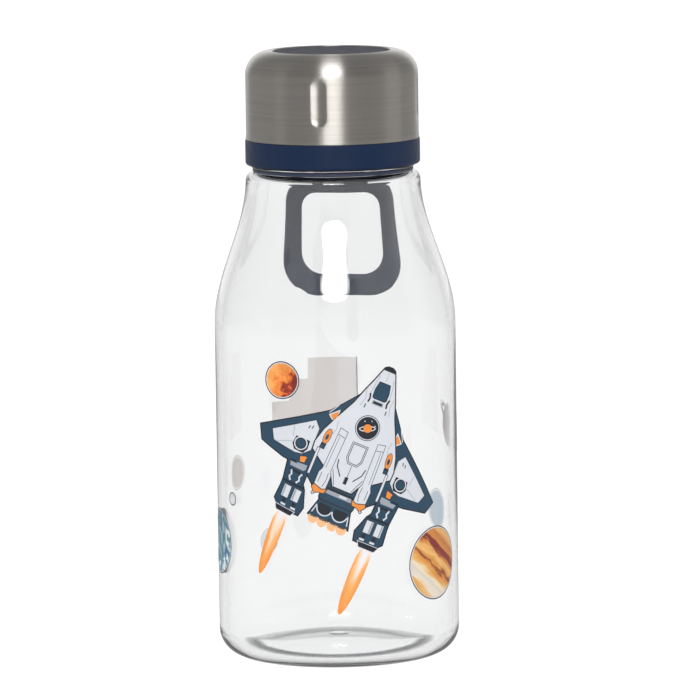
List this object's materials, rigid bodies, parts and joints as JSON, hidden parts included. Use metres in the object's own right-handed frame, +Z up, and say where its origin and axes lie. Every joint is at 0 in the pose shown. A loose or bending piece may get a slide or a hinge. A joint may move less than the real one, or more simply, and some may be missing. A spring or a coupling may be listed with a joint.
{
  "type": "water bottle",
  "caption": "Clear drinking bottle for a child, with a steel-shelled screw lid, a carry loop on a neck ring and printed space artwork.",
  "frame": {"origin": "centre of the flat ring that the bottle stands on, on the bottle's axis", "axes": "+Z up along the bottle's axis through the lid, -Y towards the front artwork, +Y towards the hanging carry loop"},
  "size_m": [0.0684, 0.0711, 0.171],
  "materials": {
    "clear_plastic": "clear, polished",
    "navy_silicone": "soft satin",
    "white_silicone": "soft satin",
    "navy_plastic": "fine satin moulding",
    "brushed_lid_steel": "brushed round the lid",
    "navy_disc": "fine satin moulding",
    "ink_white": "screen-printed ink",
    "ink_teal": "screen-printed ink",
    "ink_orange": "screen-printed ink",
    "ink_red_planet": "screen-printed ink, mottled",
    "ink_banded_planet": "screen-printed ink, banded",
    "ink_blue_planet": "screen-printed ink, swirled",
    "ink_moon": "screen-printed ink",
    "ink_ringed_planet": "screen-printed ink, banded",
    "ink_pale_grey": "screen-printed ink, pale back",
    "ink_pale_blue": "screen-printed ink, pale back",
    "ink_pale_panel": "screen-printed ink, pale back"
  },
  "bodies": {
    "bottle": {"bottle_body": "clear_plastic", "print_ship_hull": "ink_white", "print_ship_trim": "ink_teal", "print_ship_flames": "ink_orange", "print_red_planet": "ink_red_planet", "print_banded_planet": "ink_banded_planet", "print_blue_planet": "ink_blue_planet", "print_moon": "ink_moon", "print_ringed_planet": "ink_ringed_planet", "print_grey_planet": "ink_pale_grey", "print_pale_planet": "ink_pale_blue", "print_small_planet": "ink_moon", "print_back_panel": "ink_pale_panel"},
    "seal": {"lid_seal": "white_silicone"},
    "lid": {"lid_liner": "navy_plastic", "steel_cap": "brushed_lid_steel", "top_disc": "navy_disc"},
    "strap": {"strap_ring": "navy_silicone"},
    "loop": {"carry_loop": "navy_silicone"}
  },
  "joints": [
    {"name": "lid_lift", "type": "slide", "parent": "bottle", "child": "seal", "axis": [0, 0, 1], "range_m": [0, 0.02]},
    {"name": "lid_turn", "type": "hinge", "parent": "seal", "child": "lid", "pos_m": [0, 0, 0.1585], "axis": [0, 0, 1], "range_deg": [0, 1440]},
    {"name": "strap_turn", "type": "hinge", "parent": "bottle", "child": "strap", "pos_m": [0, 0, 0.1376], "axis": [0, 0, 1], "continuous": true},
    {"name": "loop_swing", "type": "hinge", "parent": "strap", "child": "loop", "pos_m": [0, 0.026, 0.1376], "axis": [1, 0, 0], "range_deg": [0, 150]}
  ],
  "couplings": [
    {"joint": "lid_lift", "follows": "lid_turn", "m_per_rad": 0.00079577}
  ]
}
